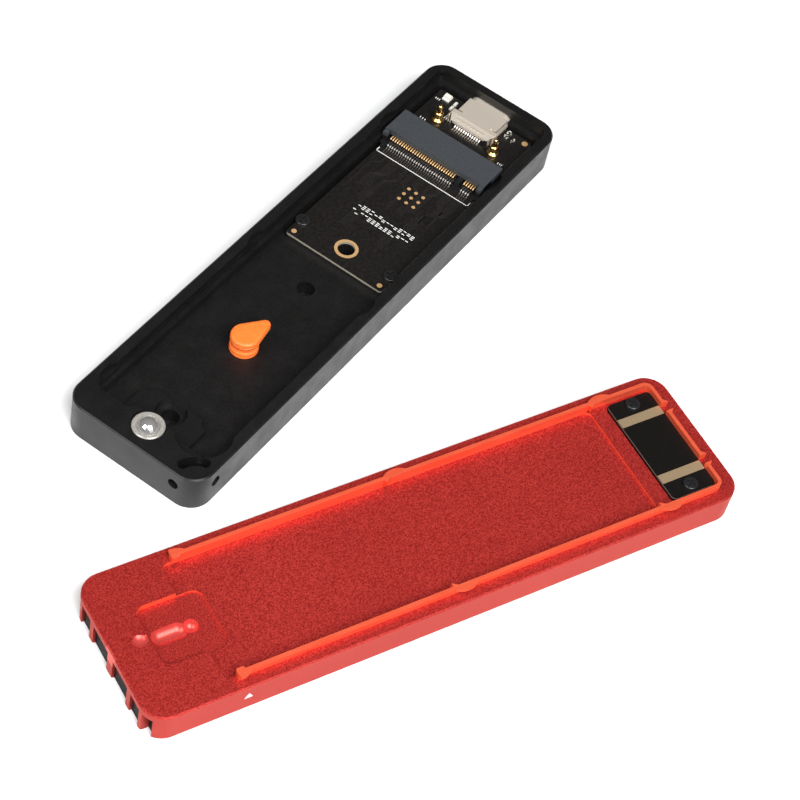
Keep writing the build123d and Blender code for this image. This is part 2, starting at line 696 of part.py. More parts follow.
# ---------------------------------------------------------------- cover shell, lying on its back
mating = cover_plane.offset(cover_height)
inner_half_width = lip_half_width - lip_wall
contact_board_top = cover_height + contact_board_stand
contact_board_seat = contact_board_top - contact_board_thickness
contact_board_near = far - contact_board_near_gap
contact_board_far = far - contact_board_far_gap
light_x = far - light_from_end
cover_screw_places = [(far - cover_screw_from_end, side * cover_screw_spread) for side in (-1, 1)]
with BuildPart() as cover_shell:
    with BuildSketch(cover_plane):
        RectangleRounded(length, width, corner_radius)
    extrude(amount=cover_height)
    chamfer(cover_shell.edges().group_by(Axis.Z)[-1], edge_bevel)
    chamfer(cover_shell.edges().group_by(Axis.Z)[0], edge_bevel)
    # sunk floor over the card, and the higher shelf under the contact board
    extrude(
        span(near + floor_near, far - floor_step_to_end, inner_half_width, mating, bay_corner),
        amount=-floor_depth, mode=Mode.SUBTRACT,
    )
    extrude(
        span(far - floor_step_to_end - 2 * bay_corner, far - lip_far - lip_wall,
             inner_half_width, mating, bay_corner),
        amount=-shelf_depth, mode=Mode.SUBTRACT,
    )
    # square recess that clears the plug's head when it holds the longest card
    extrude(
        span(near + plug_recess_near, near + plug_recess_near + plug_recess_size,
             plug_recess_size / 2, mating, plug_recess_corner),
        amount=-plug_recess_depth, mode=Mode.SUBTRACT,
    )
    # round-bottomed slot the ball runs along, and the dimple it snaps into
    slot_axis = cover_height - plug_recess_depth + ball_slot_sink
    slot_ends = (near + ball_slot_near + ball_slot_r, near + ball_slot_far - ball_slot_r)
    with BuildSketch(Plane(on_cover(slot_ends[0], 0, slot_axis), z_dir=cover_plane.x_dir)):
        Circle(ball_slot_r)
    extrude(amount=slot_ends[1] - slot_ends[0], mode=Mode.SUBTRACT)
    with Locations([Location(on_cover(x, 0, slot_axis)) for x in slot_ends]):
        Sphere(ball_slot_r, mode=Mode.SUBTRACT)
    dimple_rise = sqrt(ball_r * ball_r - ball_dimple_r * ball_dimple_r)
    with Locations(Location(on_cover(near + detent_from_end, 0, cover_height + dimple_rise))):
        Sphere(ball_r, mode=Mode.SUBTRACT)
    with Locations(Location(on_cover(near + ball_free_from_end, 0, slot_axis - ball_slot_sink))):
        Sphere(ball_free_r, mode=Mode.SUBTRACT)
    # shallow groove between the dimple and the recess
    link_rise = sqrt(ball_r * ball_r - ball_link_half_width * ball_link_half_width)
    with BuildSketch(Plane(on_cover(near + detent_from_end, 0, cover_height + link_rise),
                           z_dir=cover_plane.x_dir)):
        Circle(ball_r)
    extrude(amount=plug_recess_near + ball_link_overrun - detent_from_end, mode=Mode.SUBTRACT)
    # thin lip that drops inside the base's rim, broken at two places on its far end
    with BuildSketch(mating):
        with Locations(((near + lip_near + far - lip_far) / 2, 0)):
            RectangleRounded(length - lip_near - lip_far, 2 * lip_half_width, lip_corner)
        with Locations(((near + lip_near + far - lip_far) / 2 - lip_wall, 0)):
            RectangleRounded(
                length - lip_near - lip_far, 2 * inner_half_width, lip_corner - lip_wall,
                mode=Mode.SUBTRACT,
            )
        with Locations((near + lip_near, 0)):
            Rectangle(2 * lip_wall + 1.0, 2 * inner_half_width, mode=Mode.SUBTRACT)
        with Locations([(far - lip_far, side * lip_break_at) for side in (-1, 1)]):
            Rectangle(4 * lip_wall, lip_break, mode=Mode.SUBTRACT)
        head_middle = (near + lip_near + lip_wall, lip_half_width - lip_wall / 2)
        with Locations([(head_middle[0], side * head_middle[1]) for side in (-1, 1)]):
            RectangleRounded(lip_head[0], lip_wall + 2 * lip_head[1], lip_head[1])
        for x in notch_places[1:]:
            for side in (-1, 1):
                with BuildLine():
                    Polyline((x + lock_travel - hook_chord / 2, side * (inner_half_width + 0.1)),
                             (x + lock_travel - hook_chord / 4, side * (inner_half_width + 0.1)),
                             (x + lock_travel - hook_chord / 2, side * (inner_half_width - lip_barb)),
                             close=True)
                make_face()
        for side in (-1, 1):
            for edge in (-1, 1):
                barb_y = side * lip_break_at + edge * lip_break / 2
                with BuildLine():
                    Polyline((far - lip_far - lip_wall, barb_y), (far - lip_far + lip_barb, barb_y),
                             (far - lip_far - lip_wall, barb_y + edge * 2 * lip_barb), close=True)
                make_face()
    extrude(amount=lip_height)
    # hooks along the lip that lock under the base's rim
    hook_r, hook_y = bump_circle(groove_half_width - 0.25, lip_half_width, hook_chord)
    with BuildSketch(mating.offset(lip_height - hook_height)):
        with Locations([(x + lock_travel, side * hook_y) for x in notch_places for side in (-1, 1)]):
            Circle(hook_r)
        Rectangle(2 * length, 2 * inner_half_width, mode=Mode.SUBTRACT)
        with Locations((near + lip_near - lock_travel, 0)):
            Rectangle(2 * lock_travel, width, mode=Mode.SUBTRACT)
    extrude(amount=hook_height)
    # seat of the contact board, room for the lights under it, and its two screw holes
    extrude(
        span(contact_board_near - contact_board_gap, contact_board_far + contact_board_gap,
             contact_board_half_width + contact_board_gap, mating, contact_board_corner),
        amount=contact_board_seat - cover_height, mode=Mode.SUBTRACT,
    )
    extrude(
        span(light_x + light_room[0], light_x + light_room[1], bar_slots[1][1] + light_room[2],
             cover_plane.offset(contact_board_seat)),
        amount=bar_slot_depth - contact_board_seat, mode=Mode.SUBTRACT,
    )
    with BuildSketch(cover_plane.offset(contact_board_seat)):
        with Locations(cover_screw_places):
            Circle(board_screw_r)
    extrude(amount=-cover_screw_depth, mode=Mode.SUBTRACT)
    # slots for the light bars, open at the near end and on the outer face
    with BuildSketch(cover_plane):
        for low, high in bar_slots:
            for side in (-1, 1):
                with Locations((-bar_far_gap / 2, side * (low + high) / 2)):
                    Rectangle(length - bar_far_gap, high - low)
    extrude(amount=bar_slot_depth, mode=Mode.SUBTRACT)
    with BuildSketch(cover_plane):
        for low, high in bar_slots:
            for side in (-1, 1):
                with Locations((near + window_length / 2, side * (low + high) / 2)):
                    Rectangle(window_length, high - low)
    extrude(amount=window_depth, mode=Mode.SUBTRACT)
save(cover_shell, "cover_shell")

# ---------------------------------------------------------------- what the cover carries
with BuildPart() as contact_board:
    with BuildSketch(cover_plane.offset(contact_board_seat)):
        with Locations(((contact_board_near + contact_board_far) / 2, 0)):
            RectangleRounded(contact_board_far - contact_board_near, 2 * contact_board_half_width,
                             contact_board_corner - contact_board_gap)
        with Locations(cover_screw_places):
            Circle(board_screw_r + 0.1, mode=Mode.SUBTRACT)
    extrude(amount=contact_board_thickness)
save(contact_board, "contact_board")

with BuildPart() as contact_strips:
    with BuildSketch(cover_plane.offset(contact_board_top)):
        for side in (-1, 1):
            with Locations(((contact_board_near + contact_board_far) / 2, side * pin_spread)):
                Rectangle(contact_board_far - contact_board_near - 0.1, strip_width)
    extrude(amount=copper)
save(contact_strips, "contact_strips")

cover_screw = pan_screw(cover_screw_head_r, board_screw_head, board_screw_r - 0.05,
                        contact_board_thickness + cover_screw_depth - 0.3)
with BuildPart() as contact_board_screws:
    for x, y in cover_screw_places:
        with Locations(Location(on_cover(x, y, contact_board_top))):
            add(cover_screw)
save(contact_board_screws, "contact_board_screws")

# smoked bars that glow along the outer face, lit from above at their far ends
past_corner = bar_slots[2][1] - width / 2 + corner_radius
corner_start = corner_radius - sqrt(corner_radius ** 2 - past_corner ** 2)
bar_starts = (bar_set_back, bar_set_back, corner_start + bar_set_back)
with BuildPart() as light_bars:
    with BuildSketch(cover_plane.offset(bar_outer_inset)):
        for (low, high), start in zip(bar_slots, bar_starts):
            for side in (-1, 1):
                with Locations(((start - bar_far_gap) / 2, side * (low + high) / 2)):
                    Rectangle(length - bar_far_gap - start - 2 * bar_gap, high - low - 2 * bar_gap)
    extrude(amount=bar_slot_depth - bar_outer_inset - bar_gap)
    with BuildSketch(cover_plane.offset(bar_outer_inset)):
        for (low, high), start in zip(bar_slots, bar_starts):
            for side in (-1, 1):
                with Locations((near + (start + window_length) / 2, side * (low + high) / 2)):
                    Rectangle(window_length - start - 2 * bar_gap, high - low - 2 * bar_gap)
    extrude(amount=window_depth - bar_outer_inset - bar_gap)
save(light_bars, "light_bars")

with BuildPart() as cover_lights:
    for low, high in bar_slots[:2]:
        for side in (-1, 1):
            with Locations(Location(
                on_cover(light_x, side * (low + high) / 2, contact_board_seat),
                (0, 0, cover_turn),
            )):
                Box(*light_size, align=(Align.CENTER, Align.CENTER, Align.MAX))
save(cover_lights, "cover_lights")

# small white arrow that shows where the cover starts its slide
with BuildPart() as arrow_mark:
    with BuildSketch(Plane(
        on_cover(near + arrow_from_end, -width / 2, arrow_level),
        x_dir=cover_plane.x_dir, z_dir=-cover_plane.y_dir,
    )):
        Polygon((-0.75, -0.55), (0.75, -0.55), (0.0, 0.75), align=None)
    extrude(amount=0.02)
save(arrow_mark, "arrow_mark")
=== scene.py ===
import json
import random
from math import atan2, cos, pi, radians, sin

import bmesh
import bpy
from mathutils import Matrix, Vector


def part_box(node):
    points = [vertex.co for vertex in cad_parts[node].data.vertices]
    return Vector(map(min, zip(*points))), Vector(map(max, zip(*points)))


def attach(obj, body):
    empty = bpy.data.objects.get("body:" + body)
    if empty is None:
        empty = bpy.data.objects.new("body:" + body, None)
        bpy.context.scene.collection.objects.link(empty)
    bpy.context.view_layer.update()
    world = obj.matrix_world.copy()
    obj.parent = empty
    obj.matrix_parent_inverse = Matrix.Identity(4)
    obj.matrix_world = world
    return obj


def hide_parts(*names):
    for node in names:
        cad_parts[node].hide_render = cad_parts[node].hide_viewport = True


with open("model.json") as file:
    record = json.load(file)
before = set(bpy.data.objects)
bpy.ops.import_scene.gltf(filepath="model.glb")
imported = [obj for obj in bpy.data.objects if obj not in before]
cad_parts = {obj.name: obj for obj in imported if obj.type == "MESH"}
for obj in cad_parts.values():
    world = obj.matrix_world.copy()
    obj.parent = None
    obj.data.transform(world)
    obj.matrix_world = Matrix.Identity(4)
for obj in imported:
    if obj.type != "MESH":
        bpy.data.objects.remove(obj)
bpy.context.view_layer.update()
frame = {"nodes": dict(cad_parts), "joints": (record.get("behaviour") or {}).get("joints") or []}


# ---------------------------------------------------------------- base shell
# The base is one block of aluminium, milled out, blasted to a fine grain and anodised black.
# The milled part stands as it is; its finish gets the blasted grain and handled patches.
mm = 0.001


class Value:
    """A number or colour that changes over a surface; sums of it add their nodes."""

    def __init__(self, finish, socket):
        self.finish = finish
        self.socket = socket

    def maths(self, operation, first, second=0.0):
        settings = {"operation": operation}
        return self.finish.node("ShaderNodeMath", settings, {0: first, 1: second})

    def __add__(self, other):
        return self.maths("ADD", self, other)

    def __radd__(self, other):
        return self.maths("ADD", other, self)

    def __sub__(self, other):
        return self.maths("SUBTRACT", self, other)

    def __rsub__(self, other):
        return self.maths("SUBTRACT", other, self)

    def __mul__(self, other):
        return self.maths("MULTIPLY", self, other)

    def __rmul__(self, other):
        return self.maths("MULTIPLY", other, self)

    def __gt__(self, other):
        return self.maths("GREATER_THAN", self, other)

    def __lt__(self, other):
        return self.maths("LESS_THAN", self, other)

    def size(self):
        return self.maths("ABSOLUTE", self)

    def least(self, other):
        return self.maths("MINIMUM", self, other)


def label_of(name):
    """The shader's own label for a setting, such as Specular IOR Level."""
    return name.replace("_", " ").title().replace("Ior", "IOR")


class Finish:
    """One material: the steady settings of its shader, and the nodes that vary over it."""

    def __init__(self, name, colour, roughness, metallic=0.0, **steady):
        self.material = bpy.data.materials.new(name)
        self.material.use_nodes = True
        self.tree = self.material.node_tree
        self.shader = self.tree.nodes["Principled BSDF"]
        self.feed(self.shader.inputs["Base Color"], (*colour, 1.0))
        self.feed(self.shader.inputs["Roughness"], roughness)
        self.feed(self.shader.inputs["Metallic"], metallic)
        for name, value in steady.items():
            self.feed(self.shader.inputs[label_of(name)], value)

    def feed(self, socket, value):
        if isinstance(value, Value):
            self.tree.links.new(value.socket, socket)
        else:
            socket.default_value = value

    def node(self, kind, settings=None, inputs=None, output=0):
        """Any other node: its settings first, then the values or links of its sockets."""
        made = self.tree.nodes.new(kind)
        for name, value in (settings or {}).items():
            if name == "stops":
                for stop, (place, colour) in zip(made.color_ramp.elements, value):
                    stop.position = place
                    stop.color = colour
            else:
                setattr(made, name, value)
        for name, value in (inputs or {}).items():
            self.feed(made.inputs[name], value)
        return Value(self, made.outputs[output])

    def place(self):
        """Where a point lies on the finished object."""
        return self.node("ShaderNodeTexCoord", output=3)

    def facing(self):
        """Which way the surface faces there."""
        return self.node("ShaderNodeTexCoord", output=1)

    def part(self, vector, axis):
        return self.node("ShaderNodeSeparateXYZ", None, {0: vector}, "XYZ".index(axis))

    def noise(self, per_mm, detail=2.0, where=None, stretch=None):
        """Cloudy pattern with about per_mm patches to a millimetre, from 0 to 1."""
        where = where or self.place()
        if stretch:
            where = self.node("ShaderNodeMapping", None, {"Vector": where, "Scale": stretch})
        inputs = {"Vector": where, "Scale": per_mm / mm, "Detail": detail}
        return self.node("ShaderNodeTexNoise", None, inputs)

    def span(self, value, low, high, to_low=0.0, to_high=1.0):
        inputs = {"Value": value, 1: low, 2: high, 3: to_low, 4: to_high}
        return self.node("ShaderNodeMapRange", None, inputs)

    def mix(self, factor, first, second):
        inputs = {0: factor, 6: first, 7: second}
        return self.node("ShaderNodeMix", {"data_type": "RGBA"}, inputs, 2)

    def bump(self, height, strength, distance_mm):
        inputs = {"Height": height, "Strength": strength, "Distance": distance_mm * mm}
        self.feed(self.shader.inputs["Normal"], self.node("ShaderNodeBump", None, inputs))

    def paint(self, colour):
        self.feed(self.shader.inputs["Base Color"], colour)

    def rough(self, value):
        self.feed(self.shader.inputs["Roughness"], value)


def dress(node, finish):
    """Give a milled or moulded part its finish, in place of its plain one."""
    part = frame["nodes"][node]
    part.data.materials.clear()
    part.data.materials.append(finish.material)


base_low, base_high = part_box("base_shell")
half_length = (base_high.x - base_low.x) / 2
half_width = (base_high.y - base_low.y) / 2

black = Finish("black_anodised", (0.012, 0.011, 0.011), 0.40, 0.25)
grain = black.noise(4.0, 3.0)
wear = black.noise(0.3, 4.0)
black.paint(black.mix(
    black.span(grain, 0.35, 0.65), (0.005, 0.0048, 0.0047, 1), (0.012, 0.0112, 0.011, 1)))
black.rough(black.span(wear, 0.3, 0.7, 0.34, 0.46))
black.bump(grain, 0.18, 0.015)
dress("base_shell", black)


# ---------------------------------------------------------------- circuit board
# A glass-fibre board under black solder mask, screwed down at its near end. Copper tracks lie
# just under the mask and lift it a little; a pale band along the top of each sawn edge is partly
# the glass fibre and partly a painted highlight.
def loose_object(name, data):
    """An object in the scene that rides on nothing yet."""
    thing = bpy.data.objects.new(name, data)
    bpy.context.scene.collection.objects.link(thing)
    return thing


def piece(name, mesh, finish, body, slot, *nodes):
    """Put a finished mesh on a body, in place of the nodes it stands for; the slot argument is not used."""
    thing = loose_object(name, mesh)
    mesh.materials.clear()
    mesh.materials.append(finish.material)
    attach(thing, body)
    if nodes:
        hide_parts(*nodes)
    return thing


def mesh_from(name, build):
    """A mesh made by build(bm), with its faces turned outwards."""
    bm = bmesh.new()
    build(bm)
    bmesh.ops.recalc_face_normals(bm, faces=bm.faces)
    mesh = bpy.data.meshes.new(name)
    bm.to_mesh(mesh)
    bm.free()
    return mesh


def skin(bm, rings):
    """A closed solid through a stack of equal rings of corners: two ends, and the sides between."""
    bm.faces.new(rings[0][::-1])
    bm.faces.new(rings[-1])
    count = len(rings[0])
    for first, second in zip(rings, rings[1:]):
        for n in range(count):
            m = (n + 1) % count
            bm.faces.new((first[n], first[m], second[m], second[n]))


def add_slab(bm, corners, low, high):
    """A flat slab standing on a closed outline of (x, y) points."""
    skin(bm, [[bm.verts.new((x, y, z)) for x, y in corners] for z in (low, high)])


def add_box(bm, x0, x1, y0, y1, z0, z1):
    add_slab(bm, [(x0, y0), (x1, y0), (x1, y1), (x0, y1)], z0, z1)


board_low, board_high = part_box("main_board")
board_top = board_high.z

mask = Finish("black_solder_mask", (0.006, 0.005, 0.005), 0.36, 0.0)
pale_band_depth = 0.45 * mm     # how far down the sawn edge is painted pale: glass fibre and a painted highlight
# the top band of each sawn edge is painted pale: partly glass fibre, partly a painted highlight along the
# edge
pale_edge_band = (mask.part(mask.facing(), "Z").size() < 0.5) * (
    mask.part(mask.place(), "Z") > board_top - pale_band_depth)
weave = mask.noise(1.6, 2.0)
mask_shade = mask.mix(
    mask.span(weave, 0.3, 0.7), (0.005, 0.0045, 0.004, 1), (0.012, 0.010, 0.009, 1))
fibre_and_highlight = mask.mix(mask.noise(6.0), (0.20, 0.18, 0.14, 1), (0.46, 0.42, 0.34, 1))
mask.paint(mask.mix(pale_edge_band, mask_shade, fibre_and_highlight))
mask.bump(weave, 0.15, 0.02)
dress("main_board", mask)

# tracks: bundles of narrow ribbons that leave the socket and turn by 45 degrees
track_finish = Finish("masked_copper", (0.015, 0.013, 0.012), 0.30, 0.0)
track_finish.paint(track_finish.mix(
    track_finish.noise(2.0), (0.012, 0.011, 0.010, 1), (0.024, 0.021, 0.019, 1)))
track_width = 0.16 * mm
track_rise = 0.018 * mm
track_pitch = 0.42 * mm
track_reach = 9.4 * mm         # the tracks keep within this of the board's middle line
jogged_reach = 9.6 * mm        # and within this after they have turned
turn_stagger = 0.17 * mm       # each track of a bundle turns this much after its neighbour
bundle_start, bundle_stop = -9.0 * mm, 9.2 * mm
near_track_y = 3.2 * mm        # four tracks each side of the ring at the near end
near_track_pitch = 0.45 * mm
near_track_start = 8.5 * mm
socket_low, socket_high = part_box("socket_body")


def add_track(bm, route):
    """One ribbon along a route of points, mitred at its turns."""
    sides = []
    for n, (x, y) in enumerate(route):
        before = Vector(route[max(n - 1, 0)])
        after = Vector(route[min(n + 1, len(route) - 1)])
        along = (after - before).normalized()
        across = Vector((-along.y, along.x)) * track_width / 2
        sides.append((Vector((x, y)) + across, Vector((x, y)) - across))
    low, high = board_top, board_top + track_rise
    skin(bm, [
        [bm.verts.new((p.x, p.y, z)) for p, z in ((a, low), (a, high), (b, high), (b, low))]
        for a, b in sides
    ])


def build_tracks(bm):
    draw = random.Random(7)
    start_x = socket_low.x - 2.2 * mm
    y = bundle_start
    while y < bundle_stop:
        bundle = draw.randint(2, 5)
        first_run = draw.uniform(1.0, 5.0) * mm
        jog = draw.choice((-1, 1)) * draw.uniform(0.8, 2.2) * mm
        second_run = draw.uniform(2.0, 9.0) * mm
        for n in range(bundle):
            track_y = y + n * track_pitch
            if abs(track_y) > track_reach or abs(track_y + jog) > jogged_reach:
                continue
            turn_x = start_x - first_run - n * turn_stagger * (1 if jog > 0 else -1)
            turned_x = turn_x - abs(jog)
            add_track(bm, [(start_x, track_y), (turn_x, track_y), (turned_x, track_y + jog),
                           (turned_x - second_run, track_y + jog)])
        y += (bundle + draw.randint(1, 4)) * track_pitch
    start_x = board_low.x + near_track_start
    for side in (-1, 1):
        for n in range(4):
            track_y = side * (near_track_y + n * near_track_pitch)
            jog = 1.5 * mm
            turn_x = start_x + (4.0 + n * 0.8) * mm
            add_track(bm, [(start_x, track_y), (turn_x, track_y), (turn_x + jog, track_y + side * jog),
                           (turn_x + 4 * jog, track_y + side * jog)])


piece("board_tracks", mesh_from("board_tracks", build_tracks), track_finish, "base", "black_board")

# white print: a frame line at the socket, ticks beside the parts, and rows of plain dashes
ink = Finish("white_ink", (0.80, 0.79, 0.76), 0.6)
ink.paint(ink.mix(
    ink.span(ink.noise(9.0, 3.0), 0.35, 0.6), (0.55, 0.54, 0.52, 1), (0.86, 0.85, 0.82, 1)))
ink_rise = 0.025 * mm
ink_line = 0.16 * mm
frame_gap = 1.95 * mm          # from the socket to the printed frame line
frame_reach = 10.3 * mm
frame_arm = 1.1 * mm
dash_long, dash_wide, dash_gap = 0.95 * mm, 0.62 * mm, 0.27 * mm
dash_pen = 0.17 * mm
tick_long = 0.45 * mm
# (from the base's near end, first dash, last dash)
dash_rows = ((71.2 * mm, 4.6 * mm, -7.0 * mm), (69.5 * mm, 4.9 * mm, -7.2 * mm))
# (from the base's far end, middle, spread) of each set of three ticks
tick_sets = ((9.6 * mm, 5.4 * mm, 1.4 * mm), (12.6 * mm, 8.8 * mm, 1.6 * mm),
             (12.4 * mm, -8.7 * mm, 1.2 * mm), (6.3 * mm, 9.6 * mm, 1.2 * mm))


def build_print(bm):
    low, high = board_top, board_top + ink_rise
    x = socket_low.x - frame_gap
    add_box(bm, x, x + ink_line, -frame_reach, frame_reach, low, high)
    for side in (-1, 1):
        y0, y1 = sorted((side * frame_reach, side * (frame_reach - ink_line)))
        add_box(bm, x, x + frame_arm, y0, y1, low, high)
    draw = random.Random(3)
    for from_end, start, stop in dash_rows:
        middle = base_low.x + from_end
        x0, x1 = middle - dash_long / 2, middle + dash_long / 2
        strokes = ((x0, x0 + dash_pen), (x1 - dash_pen, x1), (middle - dash_pen / 2, middle + dash_pen / 2))
        y = start
        while y > stop:
            for low_x, high_x in draw.sample(strokes, draw.randint(1, 3)):
                add_box(bm, low_x, high_x, y - dash_wide, y, low, high)
            y -= dash_wide + dash_gap
    for from_end, middle, spread in tick_sets:
        x = base_high.x - from_end
        for n in range(3):
            y = middle - spread / 2 + n * spread / 3
            add_box(bm, x, x + tick_long, y, y + ink_line, low, high)


piece("board_print", mesh_from("board_print", build_print), ink, "base", "white_ink")

# gilded copper left bare, and the two black screws that hold the board
gold = Finish("gold_plate", (0.86, 0.58, 0.22), 0.24, 1.0)
gold.rough(gold.span(gold.noise(3.0), 0.3, 0.7, 0.16, 0.32))
gold.paint(gold.mix(gold.noise(1.5), (0.90, 0.62, 0.24, 1), (0.72, 0.46, 0.16, 1)))
gold.bump(gold.noise(8.0), 0.1, 0.01)
flat_gold = Finish("flat_gilding", (0.72, 0.46, 0.22), 0.38, 0.45)
flat_gold.paint(flat_gold.mix(flat_gold.noise(2.5), (0.78, 0.50, 0.24, 1), (0.60, 0.36, 0.15, 1)))
dress("board_gilding", flat_gold)

screw_black = Finish("black_zinc", (0.022, 0.022, 0.023), 0.24, 0.4)
screw_black.rough(screw_black.span(screw_black.noise(4.0), 0.3, 0.7, 0.18, 0.32))
dress("board_screws", screw_black)
dress("contact_board_screws", screw_black)

# chips, light and the parts behind them
tin = Finish("bright_tin", (0.62, 0.60, 0.57), 0.28, 1.0)
tin.rough(tin.span(tin.noise(5.0), 0.3, 0.7, 0.22, 0.42))
tin.paint(tin.mix(tin.noise(2.0), (0.56, 0.53, 0.49, 1), (0.34, 0.31, 0.28, 1)))
ceramic = Finish("white_ceramic", (0.80, 0.78, 0.70), 0.35)
ceramic.paint(ceramic.mix(ceramic.noise(2.5), (0.84, 0.82, 0.76, 1), (0.62, 0.60, 0.50, 1)))
moulded = Finish("black_moulding", (0.018, 0.018, 0.019), 0.5)
moulded.rough(moulded.span(moulded.noise(3.0), 0.3, 0.7, 0.42, 0.58))
moulded.bump(moulded.noise(7.0), 0.15, 0.01)
soft_grey = Finish("heat_pad", (0.42, 0.44, 0.47), 0.75)
soft_grey.paint(soft_grey.mix(soft_grey.noise(2.0), (0.36, 0.38, 0.41, 1), (0.50, 0.52, 0.55, 1)))
chip = Finish("small_parts", (0.5, 0.5, 0.5), 0.4)
pale_side = chip.part(chip.place(), "Y") > 0.0
speckle = chip.noise(2.2, 2.0)
dark_body = chip.mix(speckle > 0.52, (0.012, 0.011, 0.010, 1), (0.55, 0.52, 0.47, 1))
chip.paint(chip.mix(pale_side, dark_body, (0.62, 0.60, 0.54, 1)))
dress("board_chips", chip)
dress("status_light", ceramic)
dress("bridge_chip", moulded)
dress("heat_pad", soft_grey)


# ---------------------------------------------------------------- drive socket
# A glass-filled moulding: low jaw with a rib between every two contacts, an end cheek at each
# side, a key, and a grey top plate over the slot. The gilt row springs from above, the tinned below.
pitch = 0.5 * mm
contact_width = 0.20 * mm
sheet = 0.13 * mm              # the contacts are stamped from sheet this thick
key_y = -6.125 * mm            # middle of the key, in the gap between the two runs of contacts
slot_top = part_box("socket_upper_contacts")[1].z
jaw_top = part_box("socket_lower_contacts")[1].z - 0.15 * mm
jaw_x = socket_low.x           # front of the low jaw
plate_x = jaw_x + 1.8 * mm     # front of the top plate
stop_x = jaw_x + 4.4 * mm      # where the card stops
step = Vector((0, pitch, 0))


def row_tree():
    """Geometry Nodes that set copies of a shape in a straight row."""
    tree = bpy.data.node_groups.new("row", "GeometryNodeTree")
    face = tree.interface
    face.new_socket("Geometry", in_out="OUTPUT", socket_type="NodeSocketGeometry")
    kinds = {"Shape": "Object", "Count": "Int", "Start": "Vector", "Step": "Vector", "Material": "Material"}
    sockets = {
        label: face.new_socket(label, in_out="INPUT", socket_type="NodeSocket" + kind).identifier
        for label, kind in kinds.items()
    }
    given = tree.nodes.new("NodeGroupInput")
    line = tree.nodes.new("GeometryNodeMeshLine")
    shape = tree.nodes.new("GeometryNodeObjectInfo")
    copies = tree.nodes.new("GeometryNodeInstanceOnPoints")
    real = tree.nodes.new("GeometryNodeRealizeInstances")
    coat = tree.nodes.new("GeometryNodeSetMaterial")
    result = tree.nodes.new("NodeGroupOutput")
    links = (
        (given, "Shape", shape, "Object"),
        (given, "Count", line, "Count"),
        (given, "Start", line, "Start Location"),
        (given, "Step", line, "Offset"),
        (line, "Mesh", copies, "Points"),
        (shape, "Geometry", copies, "Instance"),
        (copies, "Instances", real, "Geometry"),
        (real, "Geometry", coat, "Geometry"),
        (given, "Material", coat, "Material"),
        (coat, "Geometry", result, "Geometry"),
    )
    for source, output, target, name in links:
        tree.links.new(source.outputs[output], target.inputs[name])
    return tree, sockets


rows_of, row_sockets = row_tree()


def row_mesh(name, shape, finish, starts_and_counts):
    """Copies of a shape at the contacts' pitch, in one or more rows, made one mesh."""
    source = loose_object(name + "_one", shape)
    meshes = []
    for start_y, count in starts_and_counts:
        holder = loose_object(name + "_holder", bpy.data.meshes.new(name + "_holder"))
        rows = holder.modifiers.new("rows", "NODES")
        rows.node_group = rows_of
        values = {"Shape": source, "Count": count, "Start": Vector((0, start_y, 0)), "Step": step,
                  "Material": finish.material}
        for label, value in values.items():
            rows[row_sockets[label]] = value
        bpy.context.view_layer.update()
        shown = holder.evaluated_get(bpy.context.evaluated_depsgraph_get())
        meshes.append(bpy.data.meshes.new_from_object(shown))
        holder.modifiers.remove(rows)
        bpy.data.objects.remove(holder)
    bpy.data.objects.remove(source)

    def build(bm):
        for mesh in meshes:
            bm.from_mesh(mesh)
        bmesh.ops.remove_doubles(bm, verts=bm.verts, dist=0.0001 * mm)

    return mesh_from(name, build)


def bent_strip(name, side_view, wide):
    """A strip whose side view is a closed outline of (x, z), wide across, middled on y = 0."""
    def build(bm):
        skin(bm, [[bm.verts.new((x, y, z)) for x, z in side_view] for y in (wide / 2, -wide / 2)])
    return mesh_from(name, build)


def thick_line(points, thick):
    """Closed outline of a sheet that follows (x, z) points, thick below them."""
    under = []
    for n, point in enumerate(points):
        before = Vector(points[max(n - 1, 0)])
        after = Vector(points[min(n + 1, len(points) - 1)])
        along = (after - before).normalized()
        under.append((point[0] + along.y * thick, point[1] - along.x * thick))
    return list(points) + under[::-1]


# the gilt spring's side view, from its tip, over its bend, to the back of the slot
upper_view = thick_line([
    (jaw_x + 1.0 * mm, slot_top - 0.30 * mm), (jaw_x + 1.25 * mm, slot_top - 0.12 * mm),
    (plate_x + 0.2 * mm, slot_top - 0.02 * mm), (stop_x - 0.4 * mm, slot_top - 0.02 * mm)], sheet)
upper_rows = ((-4.75 * mm, 29), (-9.25 * mm, 5))
gilt = row_mesh("socket_gilt_row", bent_strip("gilt", upper_view, contact_width), flat_gold, upper_rows)
piece("socket_gilt_row", gilt, flat_gold, "base", "gold", "socket_upper_contacts")

# the tinned contact's: its tail on the board, up the jaw's front, and along the jaw
lower_view = thick_line([
    (jaw_x - 1.4 * mm, board_top + 0.14 * mm), (jaw_x - 0.50 * mm, board_top + 0.16 * mm),
    (jaw_x - 0.28 * mm, board_top + 0.26 * mm), (jaw_x - 0.16 * mm, jaw_top - 0.05 * mm),
    (jaw_x + 0.15 * mm, jaw_top + 0.15 * mm), (jaw_x + 2.6 * mm, jaw_top + 0.24 * mm)], sheet)
lower_rows = ((-5.0 * mm, 29), (-9.0 * mm, 4))
tinned = row_mesh("socket_tinned_row", bent_strip("tinned", lower_view, contact_width), tin, lower_rows)
piece("socket_tinned_row", tinned, tin, "base", "tin", "socket_lower_contacts")

housing = Finish("socket_moulding", (0.02, 0.02, 0.021), 0.42)
grey_from = slot_top + 0.12 * mm
above = housing.part(housing.place(), "Z") > grey_from
fleck = housing.noise(4.0, 3.0)
grey = housing.mix(housing.span(fleck, 0.3, 0.7), (0.034, 0.038, 0.042, 1), (0.052, 0.057, 0.063, 1))
housing.paint(housing.mix(above, (0.006, 0.006, 0.007, 1), grey))
housing.rough(housing.span(fleck, 0.3, 0.7, 0.36, 0.5))
housing.bump(fleck, 0.12, 0.01)


